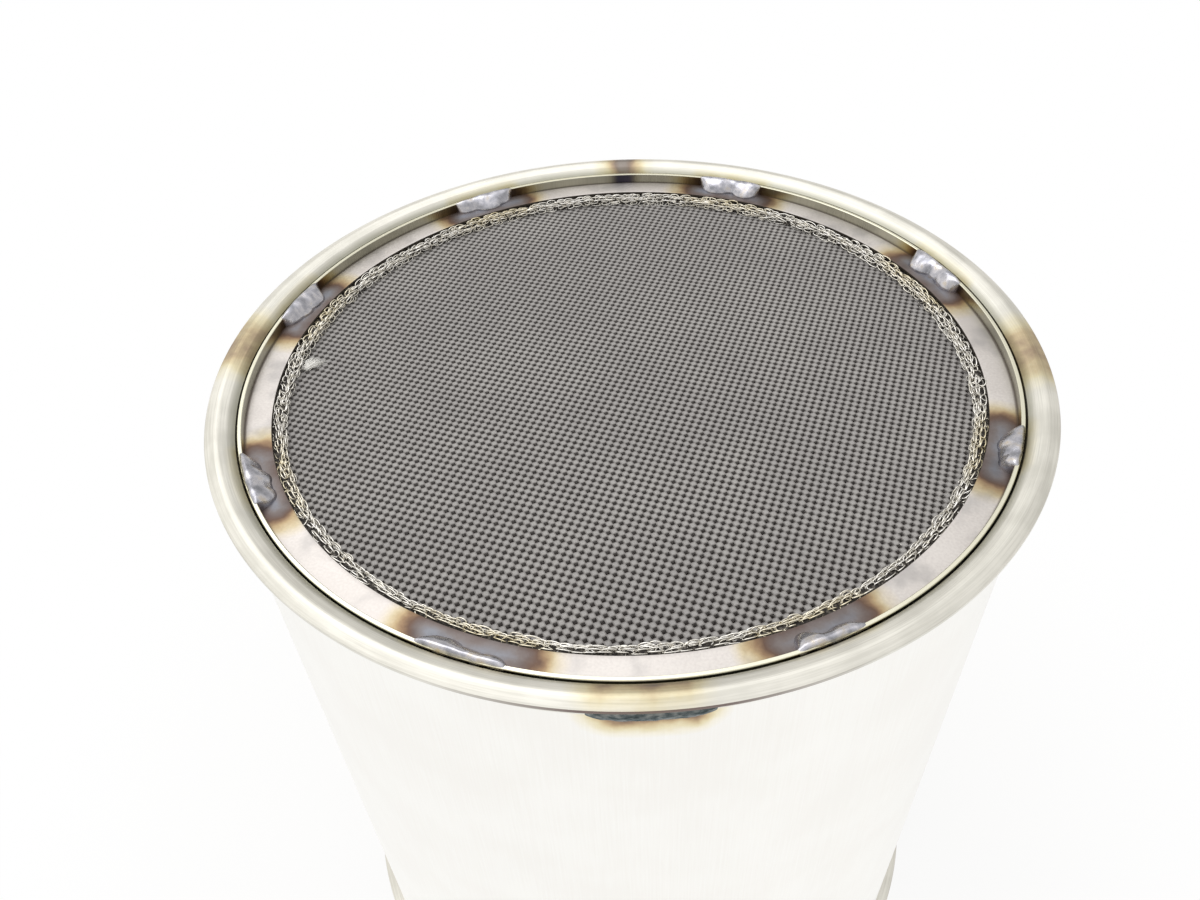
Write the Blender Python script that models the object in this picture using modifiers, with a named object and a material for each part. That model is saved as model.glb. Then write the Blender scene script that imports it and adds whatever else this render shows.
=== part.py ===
"""Diesel particulate filter module, as fitted in a heavy truck's exhaust.

A ceramic wall-flow filter block is wrapped in a support mat and pressed into a thin steel can. At
each end a flat retaining ring, tack welded inside the can's edge, squeezes a seal of knitted wire
rope on to the rim of the block. A turned flange for a V-band clamp sits round each end of the can,
and an insulated jacket butts up under the two flanges, held by four short welds at each end.

Metres, +Z up. The module stands on its lower flange: the origin is the centre of that flange's
sealing face, and the axis of the can is +Z.
"""

import math

import bmesh
import bpy
from mathutils import Matrix, Vector

# Filter block: extruded ceramic, with each channel plugged at one end, in turn top and bottom.
# The real channels have a pitch of 1.8 mm and walls of 0.3 mm, too fine for solid modelling, so here
# the same pattern is eight times as coarse.
FILTER_DIAMETER = 0.2667
FILTER_LENGTH = 0.3048
CHANNEL_PITCH = 0.0144
CHANNEL_WALL = 0.0024
PLUG_DEPTH = 0.0100
BLOCK_SKIN = 0.0020
CELL_TURN = math.radians(45)

# Wrapping, from the block outwards
FIT_GAP = 0.0003
MAT_THICKNESS = 0.00405
MAT_INSET = 0.0080
CAN_WALL = 0.0015
CAN_OVERHANG = 0.0081
BLANKET_THICKNESS = 0.0033
BLANKET_INSET = 0.0050
JACKET_WALL = 0.0012

# Retaining ring and the wire rope seal that it squeezes on to the block
SEAL_HEIGHT = 0.0020
SEAL_REACH = 0.0122
SEAL_BULGE = 0.0012
RETAINER_WIDTH = 0.0090
RETAINER_THICKNESS = 0.0015

# V-band flange
FLANGE_RISE = 0.0112
FLANGE_DEPTH = 0.0112
FLANGE_LIP = 0.0050
LAND_WIDTH = 0.0014
LAND_INSET = 0.0034
FACE_DROP = 0.0014
SHOULDER_INSET = 0.0028
SHOULDER_DROP = 0.0012
RIM_THICKNESS = 0.0011
BACK_ANGLE = math.radians(20)
THROAT_GAP = 0.0007
THROAT_DEPTH = 0.0050
COLLAR_STEP = 0.0003
SPIGOT_DEPTH = 0.0040
EDGE_RADIUS = 0.0005
NECK_RADIUS = 0.0012

# Welds, with each angle measured from +X, anticlockwise seen from above
TACK_ANGLES = [42.5, 88.5, 137.5, 182, 225.5, 270, 313.5, 357.5]
TACK_LENGTHS = [0.0277, 0.0289, 0.0277, 0.0265, 0.0265, 0.0277, 0.0217, 0.0205]
TACK_WIDTH = 0.0056
TACK_CROWN = 0.0016
STITCH_ANGLES = [17.5, 109.5, 195.5, 292]
STITCH_LENGTH = 0.0365
STITCH_HEIGHT = 0.0032
STITCH_CROWN = 0.0016
STITCH_LIFT = 0.0004

# Facets
SEGMENTS = 64
CORNER_POINTS = 2
TACK_STATIONS = 7
STITCH_STATIONS = 8

# Radii and heights that follow from the sizes above
FILTER_RADIUS = FILTER_DIAMETER / 2
MAT_INNER = FILTER_RADIUS + FIT_GAP
MAT_OUTER = MAT_INNER + MAT_THICKNESS
CAN_INNER = MAT_OUTER + FIT_GAP
CAN_OUTER = CAN_INNER + CAN_WALL
BLANKET_INNER = CAN_OUTER + FIT_GAP
BLANKET_OUTER = BLANKET_INNER + BLANKET_THICKNESS
JACKET_INNER = BLANKET_OUTER + FIT_GAP
JACKET_OUTER = JACKET_INNER + JACKET_WALL
COLLAR_OUTER = JACKET_OUTER + COLLAR_STEP
RIM_RADIUS = COLLAR_OUTER + FLANGE_LIP
RETAINER_OUTER = CAN_INNER - FIT_GAP

# Heights above the block's end face, the same at both ends
RETAINER_UNDERSIDE = SEAL_HEIGHT + 2 * FIT_GAP
RETAINER_FACE = RETAINER_UNDERSIDE + RETAINER_THICKNESS
COLLAR_BASE = FLANGE_RISE - FLANGE_DEPTH

BLOCK_BOTTOM = FLANGE_RISE
BLOCK_TOP = BLOCK_BOTTOM + FILTER_LENGTH
ENDS = {"upper": 1, "lower": -1}


def clear_scene():
    for thing in list(bpy.data.objects):
        bpy.data.objects.remove(thing)


def new_collection(name):
    collection = bpy.data.collections.new(name)
    bpy.context.scene.collection.children.link(collection)
    return collection


def finish(name, colour, metallic, roughness):
    """A plain material in the colour of one real finish."""
    material = bpy.data.materials.new(name)
    material.use_nodes = True
    shader = material.node_tree.nodes["Principled BSDF"]
    shader.inputs["Base Color"].default_value = (*colour, 1)
    shader.inputs["Metallic"].default_value = metallic
    shader.inputs["Roughness"].default_value = roughness
    return material


def add(name, mesh, material, collection):
    piece = bpy.data.objects.new(name, mesh)
    mesh.materials.append(material)
    collection.objects.link(piece)
    return piece


def at_end(end, height):
    """The z of a height above the block's end face, measured outwards from the block."""
    return BLOCK_TOP + height if end > 0 else BLOCK_BOTTOM - height


def corner_arc(before, corner, after, radius):
    """Points that round one corner of an outline, with the radius limited by the edges beside it."""
    to_before = before - corner
    to_after = after - corner
    half_angle = to_before.angle(to_after) / 2
    reach = min(radius / math.tan(half_angle), 0.45 * to_before.length, 0.45 * to_after.length)
    radius = reach * math.tan(half_angle)
    middle = (to_before.normalized() + to_after.normalized()).normalized()
    centre = corner + middle * (radius / math.sin(half_angle))
    start = corner + to_before.normalized() * reach - centre
    stop = corner + to_after.normalized() * reach - centre
    sweep = math.pi - 2 * half_angle
    weights = []
    for step in range(CORNER_POINTS):
        share = step / (CORNER_POINTS - 1)
        weights.append((math.sin((1 - share) * sweep), math.sin(share * sweep)))
    return [centre + (start * first + stop * last) / math.sin(sweep) for first, last in weights]


def rounded(corners):
    """A closed outline from (radius from axis, height, corner radius), with its corners rounded."""
    spots = [Vector((r, z)) for r, z, _ in corners]
    outline = []
    for index, (_, _, radius) in enumerate(corners):
        if radius:
            outline += corner_arc(spots[index - 1], spots[index], spots[(index + 1) % len(spots)], radius)
        else:
            outline.append(spots[index])
    return [(spot.x, spot.y) for spot in outline]


def clockwise(outline):
    """The outline in the order that makes a turned shape face outwards: down its outer side."""
    area = sum(
        r0 * z1 - r1 * z0 for (r0, z0), (r1, z1) in zip(outline, outline[1:] + outline[:1])
    )
    return outline[::-1] if area > 0 else outline


def turned(name, outline, material, collection):
    """A ring, tube or flange: a closed outline of (radius, z) turned about the Z axis."""
    outline = clockwise(outline)
    mesh = bpy.data.meshes.new(name)
    count = len(outline)
    edges = [(index, (index + 1) % count) for index in range(count)]
    mesh.from_pydata([(r, 0, z) for r, z in outline], edges, [])
    piece = add(name, mesh, material, collection)
    screw = piece.modifiers.new("turn", "SCREW")
    screw.axis = "Z"
    screw.angle = math.tau
    screw.steps = SEGMENTS
    screw.render_steps = SEGMENTS
    screw.use_merge_vertices = True
    screw.merge_threshold = 0.00001
    return smoothed(piece)


def smoothed(piece):
    """The piece with its modifiers applied, its round sides smooth and its edges sharp."""
    bpy.context.view_layer.update()
    evaluated = piece.evaluated_get(bpy.context.evaluated_depsgraph_get())
    mesh = bpy.data.meshes.new_from_object(evaluated)
    piece.modifiers.clear()
    piece.data = mesh
    mesh.name = piece.name
    mesh.shade_smooth()
    mesh.set_sharp_from_angle(angle=math.radians(30))
    return piece


def tube(name, inner, outer, bottom, top, material, collection):
    outline = [(outer, top), (outer, bottom), (inner, bottom), (inner, top)]
    return turned(name, outline, material, collection)


def lofted(name, sections, material, collection):
    """A solid through sections with the same number of points, closed by a flat face at each end."""
    mesh = bpy.data.meshes.new(name)
    shape = bmesh.new()
    rings = [[shape.verts.new(point) for point in section] for section in sections]
    for ring, following in zip(rings, rings[1:]):
        for index, vertex in enumerate(ring):
            beside = (index + 1) % len(ring)
            shape.faces.new((vertex, ring[beside], following[beside], following[index]))
    shape.faces.new(rings[0][::-1])
    shape.faces.new(rings[-1])
    bmesh.ops.recalc_face_normals(shape, faces=shape.faces)
    shape.to_mesh(mesh)
    shape.free()
    return smoothed(add(name, mesh, material, collection))


def channel_cells():
    """The middle of each whole channel, in the block's own turned axes, and whether it is open on top."""
    reach = int(FILTER_RADIUS / CHANNEL_PITCH) + 1
    half_cell = (CHANNEL_PITCH - CHANNEL_WALL) / 2
    for column in range(-reach, reach + 1):
        for row in range(-reach, reach + 1):
            x = column * CHANNEL_PITCH
            y = row * CHANNEL_PITCH
            farthest_corner = math.hypot(abs(x) + half_cell, abs(y) + half_cell)
            if farthest_corner < FILTER_RADIUS - BLOCK_SKIN:
                yield x, y, (column + row) % 2 == 0


def build_channel_cutter(material, collection):
    """One square prism for each channel, open at one end of the block and stopped short at the other."""
    overshoot = PLUG_DEPTH
    length = FILTER_LENGTH - PLUG_DEPTH + overshoot
    open_top_middle = (BLOCK_TOP + BLOCK_BOTTOM + PLUG_DEPTH + overshoot) / 2
    open_bottom_middle = (BLOCK_TOP + BLOCK_BOTTOM - PLUG_DEPTH - overshoot) / 2
    width = CHANNEL_PITCH - CHANNEL_WALL
    size = Matrix.Diagonal((width, width, length, 1))
    turn = Matrix.Rotation(CELL_TURN, 4, "Z")
    shape = bmesh.new()
    for x, y, open_top in channel_cells():
        middle = open_top_middle if open_top else open_bottom_middle
        place = turn @ Matrix.Translation((x, y, middle)) @ size
        bmesh.ops.create_cube(shape, size=1, matrix=place)
    mesh = bpy.data.meshes.new("channel_cutter")
    shape.to_mesh(mesh)
    shape.free()
    cutter = add("channel_cutter", mesh, material, collection)
    cutter.hide_render = True
    cutter.display_type = "WIRE"
    return cutter


def build_filter_block(ceramic, collection, cutters):
    """The extruded block, with its checkerboard of open and plugged channels at each end."""
    shape = bmesh.new()
    bmesh.ops.create_cone(
        shape,
        cap_ends=True,
        segments=SEGMENTS,
        radius1=FILTER_RADIUS,
        radius2=FILTER_RADIUS,
        depth=FILTER_LENGTH,
        matrix=Matrix.Translation((0, 0, (BLOCK_TOP + BLOCK_BOTTOM) / 2)),
    )
    mesh = bpy.data.meshes.new("filter_block")
    shape.to_mesh(mesh)
    shape.free()
    block = add("filter_block", mesh, ceramic, collection)
    cut = block.modifiers.new("channels", "BOOLEAN")
    cut.operation = "DIFFERENCE"
    cut.solver = "EXACT"
    cut.object = build_channel_cutter(ceramic, cutters)
    return smoothed(block)


def build_wrapping(fibre, wool, can_steel, jacket_steel, collection):
    """Support mat, can, insulation blanket and jacket, each round the last."""
    tube(
        "support_mat", MAT_INNER, MAT_OUTER, BLOCK_BOTTOM + MAT_INSET, BLOCK_TOP - MAT_INSET,
        fibre, collection,
    )
    tube(
        "can", CAN_INNER, CAN_OUTER, BLOCK_BOTTOM - CAN_OVERHANG, BLOCK_TOP + CAN_OVERHANG,
        can_steel, collection,
    )
    jacket_bottom = at_end(-1, COLLAR_BASE - FIT_GAP)
    jacket_top = at_end(1, COLLAR_BASE - FIT_GAP)
    tube(
        "insulation_blanket", BLANKET_INNER, BLANKET_OUTER,
        jacket_bottom + BLANKET_INSET, jacket_top - BLANKET_INSET,
        wool, collection,
    )
    tube("jacket", JACKET_INNER, JACKET_OUTER, jacket_bottom, jacket_top, jacket_steel, collection)


def seal_outline(end):
    """The squeezed rope: flat under the retaining ring, swelling up past the ring's inner edge."""
    outer = RETAINER_OUTER - FIT_GAP
    inner = outer - SEAL_REACH - SEAL_HEIGHT / 2
    ring_edge = RETAINER_OUTER - RETAINER_WIDTH
    swell_outer = min(ring_edge - FIT_GAP, outer - SEAL_HEIGHT)
    bottom = FIT_GAP
    top = bottom + SEAL_HEIGHT
    crown = top + SEAL_BULGE
    swell_middle = (inner + swell_outer) / 2
    heights = [
        (outer, bottom),
        (outer, top),
        (swell_outer + FIT_GAP / 2, top),
        (swell_outer - FIT_GAP, (top + crown) / 2),
        (swell_middle + SEAL_BULGE / 2, crown),
        (swell_middle - SEAL_BULGE / 2, crown),
        (inner, (bottom + crown) / 2),
        (inner + SEAL_HEIGHT / 4, bottom),
    ]
    return [(radius, at_end(end, height)) for radius, height in heights]


def flange_outline(end):
    """Section of the turned flange, from its sealing land round the rim, collar, spigot and bore."""
    land_outer = RIM_RADIUS - LAND_INSET
    land_inner = land_outer - LAND_WIDTH
    rim_top = FLANGE_RISE - FACE_DROP
    rim_bottom = rim_top - RIM_THICKNESS
    neck = rim_bottom - (RIM_RADIUS - COLLAR_OUTER) * math.tan(BACK_ANGLE)
    spigot = COLLAR_BASE - SPIGOT_DEPTH
    bore = CAN_OUTER + FIT_GAP
    corners = [
        (land_inner, FLANGE_RISE, 0),
        (land_outer, FLANGE_RISE, EDGE_RADIUS),
        (RIM_RADIUS, rim_top, EDGE_RADIUS),
        (RIM_RADIUS, rim_bottom, 0),
        (COLLAR_OUTER, neck, NECK_RADIUS),
        (COLLAR_OUTER, COLLAR_BASE, 0),
        (JACKET_INNER - FIT_GAP, COLLAR_BASE, 0),
        (JACKET_INNER - FIT_GAP, spigot, 0),
        (bore, spigot, 0),
        (bore, CAN_OVERHANG - THROAT_DEPTH, 0),
        (CAN_OUTER + THROAT_GAP, CAN_OVERHANG, 0),
        (land_inner - SHOULDER_INSET, FLANGE_RISE - SHOULDER_DROP, 0),
    ]
    return [(radius, at_end(end, height)) for radius, height in rounded(corners)]


def build_end_rings(side, end, knit, ring_steel, flange_steel, collection):
    """Seal, retaining ring and flange at one end."""
    turned(f"{side}_mesh_seal", seal_outline(end), knit, collection)
    tube(
        f"{side}_retaining_ring",
        RETAINER_OUTER - RETAINER_WIDTH,
        RETAINER_OUTER,
        at_end(end, RETAINER_UNDERSIDE),
        at_end(end, RETAINER_FACE),
        ring_steel,
        collection,
    )
    turned(f"{side}_flange", flange_outline(end), flange_steel, collection)


def bead_sections(outline, angle, length, radius, stations):
    """Sections along a weld bead: outline(fullness) in (radius, z), swelling from each end."""
    half_angle = length / radius / 2
    sections = []
    for station in range(stations):
        along = 2 * station / (stations - 1) - 1
        fullness = 0.35 + 0.65 * math.sqrt(max(0, 1 - along**4))
        ripple = 1 + 0.08 * math.cos(3 * math.pi * along)
        turn = math.radians(angle) + half_angle * along
        sections.append(
            [
                (r * math.cos(turn), r * math.sin(turn), z)
                for r, z in outline(fullness * ripple)
            ]
        )
    return sections


def tack_outline(end, fullness):
    """Bead in the corner between retaining ring and can, lapping over the can's edge."""
    wall = CAN_INNER - FIT_GAP
    floor = RETAINER_FACE + FIT_GAP
    edge = CAN_OVERHANG + FIT_GAP
    lap = wall + FIT_GAP + CAN_WALL * min(fullness, 1)
    crown = TACK_CROWN * fullness
    width = TACK_WIDTH * fullness
    heights = [
        (wall, floor),
        (wall, edge),
        (lap, edge),
        (lap - CAN_WALL / 3, edge + crown * 0.7),
        (wall - width * 0.12, edge + crown),
        (wall - width * 0.5, (floor + edge) / 2 + crown),
        (wall - width * 0.85, floor + crown),
        (wall - width, floor),
    ]
    return [(radius, at_end(end, height)) for radius, height in heights]


def stitch_outline(end, fullness):
    """Bead across the joint of collar and jacket."""
    wall = COLLAR_OUTER + FIT_GAP
    middle = COLLAR_BASE + STITCH_LIFT
    half = STITCH_HEIGHT / 2 * fullness
    crown = STITCH_CROWN * fullness
    heights = [
        (wall, middle - half),
        (wall, middle + half),
        (wall + crown * 0.7, middle + half * 0.7),
        (wall + crown, middle),
        (wall + crown * 0.7, middle - half * 0.7),
    ]
    return [(radius, at_end(end, height)) for radius, height in heights]


def build_welds(side, end, bead, collection):
    """Eight tacks that hold the retaining ring, and four short welds that hold the jacket."""
    for number, (angle, length) in enumerate(zip(TACK_ANGLES, TACK_LENGTHS), 1):
        sections = bead_sections(
            lambda fullness: tack_outline(end, fullness), angle, length, CAN_INNER, TACK_STATIONS
        )
        lofted(f"{side}_tack_weld_{number}", sections, bead, collection)
    for number, angle in enumerate(STITCH_ANGLES, 1):
        sections = bead_sections(
            lambda fullness: stitch_outline(end, fullness),
            angle,
            STITCH_LENGTH,
            COLLAR_OUTER,
            STITCH_STATIONS,
        )
        lofted(f"{side}_stitch_weld_{number}", sections, bead, collection)


def build():
    clear_scene()
    parts = new_collection("diesel_particulate_filter")
    cutters = new_collection("cutters")
    ceramic = finish("cordierite", (0.30, 0.27, 0.24), 0, 0.9)
    fibre = finish("ceramic_fibre", (0.82, 0.80, 0.75), 0, 1)
    wool = finish("glass_wool", (0.85, 0.83, 0.72), 0, 1)
    can_steel = finish("can_steel", (0.62, 0.60, 0.55), 1, 0.35)
    jacket_steel = finish("jacket_steel", (0.80, 0.78, 0.74), 1, 0.3)
    ring_steel = finish("ring_steel", (0.70, 0.68, 0.66), 1, 0.4)
    flange_steel = finish("turned_steel", (0.66, 0.65, 0.60), 1, 0.3)
    knit = finish("knitted_wire", (0.62, 0.58, 0.50), 1, 0.4)
    bead = finish("weld_bead", (0.33, 0.33, 0.35), 1, 0.35)
    build_filter_block(ceramic, parts, cutters)
    build_wrapping(fibre, wool, can_steel, jacket_steel, parts)
    for side, end in ENDS.items():
        build_end_rings(side, end, knit, ring_steel, flange_steel, parts)
        build_welds(side, end, bead, parts)


build()
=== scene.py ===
"""The looks of a truck's diesel particulate filter module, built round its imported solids."""

import math
import random

import bmesh
import bpy
import numpy as np
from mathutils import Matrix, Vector, noise


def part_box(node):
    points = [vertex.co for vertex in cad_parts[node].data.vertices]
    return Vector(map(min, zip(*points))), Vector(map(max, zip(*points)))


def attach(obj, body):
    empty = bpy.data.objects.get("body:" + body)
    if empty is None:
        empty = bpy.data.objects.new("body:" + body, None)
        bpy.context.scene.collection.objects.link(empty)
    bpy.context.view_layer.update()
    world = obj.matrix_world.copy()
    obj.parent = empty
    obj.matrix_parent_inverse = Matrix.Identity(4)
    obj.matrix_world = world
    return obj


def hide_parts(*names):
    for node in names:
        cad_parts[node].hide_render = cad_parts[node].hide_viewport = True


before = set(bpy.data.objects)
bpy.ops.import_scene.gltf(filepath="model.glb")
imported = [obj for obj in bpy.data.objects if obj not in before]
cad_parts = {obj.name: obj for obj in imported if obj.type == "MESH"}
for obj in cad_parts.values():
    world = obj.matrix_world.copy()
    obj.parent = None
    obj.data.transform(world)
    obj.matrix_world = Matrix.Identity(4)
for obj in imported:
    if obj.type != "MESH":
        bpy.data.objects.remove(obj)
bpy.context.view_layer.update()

# Filter block
# One piece of extruded cordierite, with a channel every 1.8 mm. The channels are plugged at one end
# or the other in turn, so the gas has to pass through their thin walls.

CELLS_PER_SQUARE_INCH = 200
CELL_PITCH = 0.0254 / math.sqrt(CELLS_PER_SQUARE_INCH)
CELL_WALL = 0.00032
MOUTH_SPACING = CELL_PITCH * math.sqrt(2)
MOUTH_CORNER = (CELL_PITCH - CELL_WALL) / math.sqrt(2)
MOUTH_DEPTH = 0.012
FIRST_MOUTH = (0.00108, 0.00156)
WHOLE_CELL_MARGIN = 0.0022
BLOCK_SIDES = 256
ENDS = {"upper": 1, "lower": -1}

block_low, block_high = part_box("filter_block")
block_radius = block_high.x
block_middle = (block_low.z + block_high.z) / 2


def at_end(end, height):
    """The z of a height above the block's end face, measured outwards from the block."""
    return block_high.z + height if end > 0 else block_low.z - height


def paint(red, green, blue):
    """A colour from its sRGB values out of 255, as Blender's linear colour."""
    shares = [value / 255 for value in (red, green, blue)]
    linear = [s / 12.92 if s < 0.04045 else ((s + 0.055) / 1.055) ** 2.4 for s in shares]
    return (*linear, 1)


def node(tree, kind, sockets=None, **settings):
    """A shader node with its settings made and its inputs set to a value or joined to a socket."""
    made = tree.nodes.new(kind)
    for name, value in settings.items():
        setattr(made, name, value)
    for name, value in (sockets or {}).items():
        if isinstance(value, bpy.types.NodeSocket):
            tree.links.new(value, made.inputs[name])
        else:
            made.inputs[name].default_value = value
    return made


def maths(tree, operation, *values):
    return node(tree, "ShaderNodeMath", dict(enumerate(values)), operation=operation).outputs[0]


def blend(tree, share, first, second):
    """The second colour over the first, by a share from 0 to 1."""
    mixed = node(tree, "ShaderNodeMix", {0: share, 6: first, 7: second}, data_type="RGBA")
    return mixed.outputs[2]


def spread(tree, value, low, high, to_low=0.0, to_high=1.0):
    """A value between low and high, spread smoothly over another range and held at its ends."""
    return node(
        tree,
        "ShaderNodeMapRange",
        {"Value": value, "From Min": low, "From Max": high, "To Min": to_low, "To Max": to_high},
        interpolation_type="SMOOTHSTEP",
    ).outputs[0]


def shader_group(name, inputs, outputs):
    """An empty node group with these sockets, and its tree's own input and output nodes."""
    tree = bpy.data.node_groups.new(name, "ShaderNodeTree")
    for label, kind in inputs.items():
        tree.interface.new_socket(label, in_out="INPUT", socket_type=kind)
    for label, kind in outputs.items():
        tree.interface.new_socket(label, in_out="OUTPUT", socket_type=kind)
    return tree, tree.nodes.new("NodeGroupInput"), tree.nodes.new("NodeGroupOutput")


def grouped(tree, group, sockets=None):
    """The outputs of a node group placed in a material."""
    return node(tree, "ShaderNodeGroup", sockets, node_tree=group).outputs


def new_material(name, metallic):
    """An empty material, its tree and its shader."""
    material = bpy.data.materials.new(name)
    material.use_nodes = True
    shader = material.node_tree.nodes["Principled BSDF"]
    shader.inputs["Metallic"].default_value = metallic
    return material, material.node_tree, shader


def finish(tree, shader, colour, roughness, height, depth):
    """Joins a colour, a roughness and a height to a material's shader. The depth is in metres."""
    bump = node(tree, "ShaderNodeBump", {"Height": height, "Distance": depth, "Strength": 1.0})
    tree.links.new(bump.outputs[0], shader.inputs["Normal"])
    for value, socket in ((colour, "Base Color"), (roughness, "Roughness")):
        if isinstance(value, bpy.types.NodeSocket):
            tree.links.new(value, shader.inputs[socket])
        else:
            shader.inputs[socket].default_value = value


def add_piece(name, mesh, material, slot, *replaced):
    """Puts a mesh in the scene as a piece of the filter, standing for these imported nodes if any."""
    piece = bpy.data.objects.new(name, mesh)
    bpy.context.scene.collection.objects.link(piece)
    mesh.materials.append(material)
    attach(piece, "root")
    if replaced:
        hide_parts(*replaced)


def channel_mouths(end):
    """The middles of one face's open channels, as a grid, and which of them are whole."""
    reach = int(block_radius / MOUTH_SPACING) + 2
    half_step = 0 if end > 0 else 0.5
    steps = np.arange(-reach, reach + 1) + half_step
    x, y = np.meshgrid(
        steps * MOUTH_SPACING + FIRST_MOUTH[0], steps * MOUTH_SPACING + FIRST_MOUTH[1], indexing="ij"
    )
    return x, y, np.hypot(x, y) < block_radius - WHOLE_CELL_MARGIN


def half_block(name, end):
    """Half of the block, from its middle to one face, with that face's open channels."""
    x, y, whole = channel_mouths(end)
    count = int(whole.sum())
    first = np.full(whole.shape, -1)
    first[whole] = np.arange(count) * 8
    corners = MOUTH_CORNER * np.array([(1, 0), (0, 1), (-1, 0), (0, -1)])
    middles = np.stack([x[whole], y[whole]], axis=1)
    points = np.zeros((count, 8, 3))
    points[:, :4, :2] = middles[:, None] + corners
    points[:, 4:, :2] = points[:, :4, :2]
    points[:, :4, 2] = at_end(end, 0)
    points[:, 4:, 2] = at_end(end, -MOUTH_DEPTH)
    starts = np.arange(count)[:, None] * 8
    walls = [starts + [side, (side + 1) % 4, (side + 1) % 4 + 4, side + 4] for side in range(4)]
    floors = starts + [4, 5, 6, 7]
    here, right, up, across = first[:-1, :-1], first[1:, :-1], first[:-1, 1:], first[1:, 1:]
    plugged = (here >= 0) & (right >= 0) & (up >= 0) & (across >= 0)
    plugs = np.stack(
        [here, right + 2, right + 1, across + 3, across + 2, up, up + 3, here + 1], axis=-1
    )[plugged]
    faces = np.concatenate([*walls, floors]).tolist() + plugs.tolist()
    mesh = bpy.data.meshes.new(name)
    mesh.from_pydata(points.reshape(-1, 3).tolist(), [], faces)
    close_half_block(mesh, end)
    return mesh


def close_half_block(mesh, end):
    """Adds the face's rim round the ragged edge of the channels, the round side and the cut."""
    shape = bmesh.new()
    shape.from_mesh(mesh)
    ragged = [edge for edge in shape.edges if edge.is_boundary]
    rings = []
    for z in (at_end(end, 0), block_middle):
        rings.append(
            [
                shape.verts.new(
                    (
                        block_radius * math.cos(math.tau * side / BLOCK_SIDES),
                        block_radius * math.sin(math.tau * side / BLOCK_SIDES),
                        z,
                    )
                )
                for side in range(BLOCK_SIDES)
            ]
        )
    face_ring, cut_ring = rings
    rim = [
        shape.edges.new((vertex, face_ring[(side + 1) % BLOCK_SIDES]))
        for side, vertex in enumerate(face_ring)
    ]
    bmesh.ops.triangle_fill(shape, use_beauty=True, use_dissolve=False, edges=ragged + rim)
    for side in range(BLOCK_SIDES):
        beside = (side + 1) % BLOCK_SIDES
        shape.faces.new((face_ring[side], face_ring[beside], cut_ring[beside], cut_ring[side]))
    shape.faces.new(cut_ring)
    bmesh.ops.recalc_face_normals(shape, faces=shape.faces)
    shape.to_mesh(mesh)
    shape.free()


def wall_line(tree, spot, way):
    """1 on the thin walls that run one way between the channels, and 0 on the plugs."""
    x = maths(tree, "SUBTRACT", spot["X"], FIRST_MOUTH[0])
    y = maths(tree, "MULTIPLY", maths(tree, "SUBTRACT", spot["Y"], FIRST_MOUTH[1]), way)
    cell = maths(tree, "DIVIDE", maths(tree, "ADD", x, y), MOUTH_SPACING)
    from_wall = maths(tree, "ABSOLUTE", maths(tree, "SUBTRACT", maths(tree, "FRACT", cell), 0.5))
    half_wall = CELL_WALL / CELL_PITCH / 2
    return spread(tree, from_wall, half_wall * 0.9, half_wall * 1.9, 1.0, 0.0)


cordierite, tree, shader = new_material("cordierite", 0.0)
place = node(tree, "ShaderNodeTexCoord").outputs["Object"]
spot = node(tree, "ShaderNodeSeparateXYZ", {0: place}).outputs
half_length = (block_high.z - block_low.z) / 2
from_middle = maths(tree, "ABSOLUTE", maths(tree, "SUBTRACT", spot["Z"], block_middle))
# Deeper than 3 mm into the channels, the walls turn a darker brown-grey.
deep_in_channels = spread(tree, from_middle, half_length - 0.0030, half_length - 0.0001, 1.0, 0.0)
clouds = node(tree, "ShaderNodeTexNoise", {"Vector": place, "Scale": 24.0, "Detail": 2.0}).outputs[0]
grain = node(tree, "ShaderNodeTexNoise", {"Vector": place, "Scale": 2600.0, "Detail": 4.0}).outputs[0]
patches = node(tree, "ShaderNodeTexVoronoi", {"Vector": place, "Scale": 420.0}).outputs["Color"]
fleck = node(tree, "ShaderNodeTexVoronoi", {"Vector": place, "Scale": 95.0}).outputs
plug_tone = node(tree, "ShaderNodeSeparateColor", {0: patches}).outputs[0]
thin_walls = maths(tree, "MAXIMUM", wall_line(tree, spot, 1), wall_line(tree, spot, -1))
walls = blend(tree, spread(tree, clouds, 0.35, 0.65), paint(165, 163, 162), paint(174, 172, 170))
walls = blend(tree, spread(tree, plug_tone, 0.0, 1.0, 0.0, 0.16), walls, paint(194, 192, 188))
walls = blend(tree, maths(tree, "MULTIPLY", thin_walls, 0.62), walls, paint(118, 114, 112))
walls = blend(tree, spread(tree, grain, 0.42, 0.75, 0.0, 0.32), walls, paint(126, 121, 117))
fleck_pick = node(tree, "ShaderNodeSeparateColor", {0: fleck["Color"]}).outputs[1]
dust = maths(
    tree,
    "MULTIPLY",
    spread(tree, fleck["Distance"], 0.03, 0.055, 1.0, 0.0),
    maths(tree, "GREATER_THAN", fleck_pick, 0.90),
)
walls = blend(tree, dust, walls, paint(240, 238, 232))
walls = blend(tree, deep_in_channels, walls, paint(160, 151, 147))
finish(tree, shader, walls, 0.92, maths(tree, "ADD", grain, dust), 0.00012)
shader.inputs["Specular IOR Level"].default_value = 0.2

for side, end in ENDS.items():
    half = half_block(f"{side}_half", end)
    add_piece(f"filter_block_{side}_half", half, cordierite, "cordierite", "filter_block")

# Support mat
# Ceramic-fibre mat wrapped round the block before it is pressed into the can. It fills the gap and
# grips the block by its own spring. Nothing of it shows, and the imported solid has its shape.

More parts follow.
